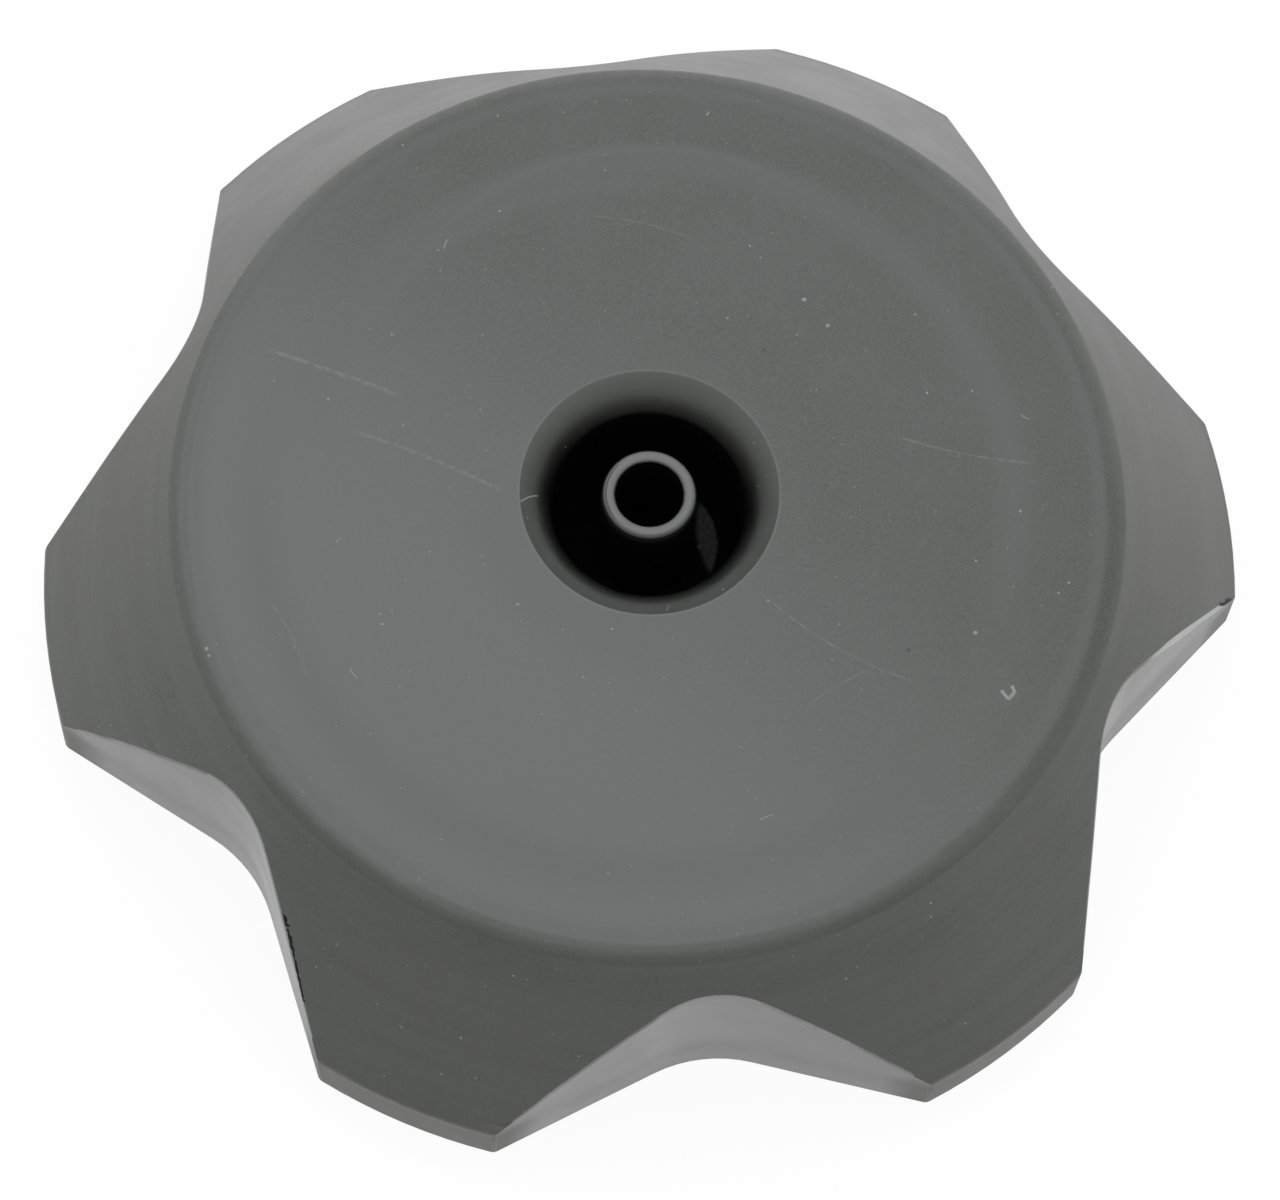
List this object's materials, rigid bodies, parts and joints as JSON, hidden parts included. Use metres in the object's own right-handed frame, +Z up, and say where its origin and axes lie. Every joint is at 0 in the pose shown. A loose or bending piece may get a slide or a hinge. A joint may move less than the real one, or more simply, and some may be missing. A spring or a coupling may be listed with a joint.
{
  "type": "fuel filler cap",
  "caption": "Screw-on fuel tank cap: lobed plastic hand grip with a central vent nipple, threaded socket, gasket and roll-over check ball.",
  "frame": {"origin": "on the cap's axis, in the plane of the lobes' lower edges", "axes": "+Z up along the axis, towards the crowned top and the vent nipple; +X through the middle of one lobe"},
  "size_m": [0.088, 0.082, 0.0222],
  "materials": {
    "black_plastic": "fine moulded satin",
    "seal_rubber": "smooth matt",
    "plate_plastic": "fine moulded satin",
    "ball_steel": "polished",
    "screw_steel": "zinc plated"
  },
  "bodies": {
    "cap": {"cap_body": "black_plastic", "neck_gasket": "seal_rubber", "baffle_plate": "plate_plastic", "plate_screws": "screw_steel"},
    "ball": {"check_ball": "ball_steel"}
  },
  "joints": [
    {"name": "ball_lift", "type": "slide", "parent": "cap", "child": "ball", "axis": [0, 0, 1], "range_m": [0, 0.002]}
  ]
}
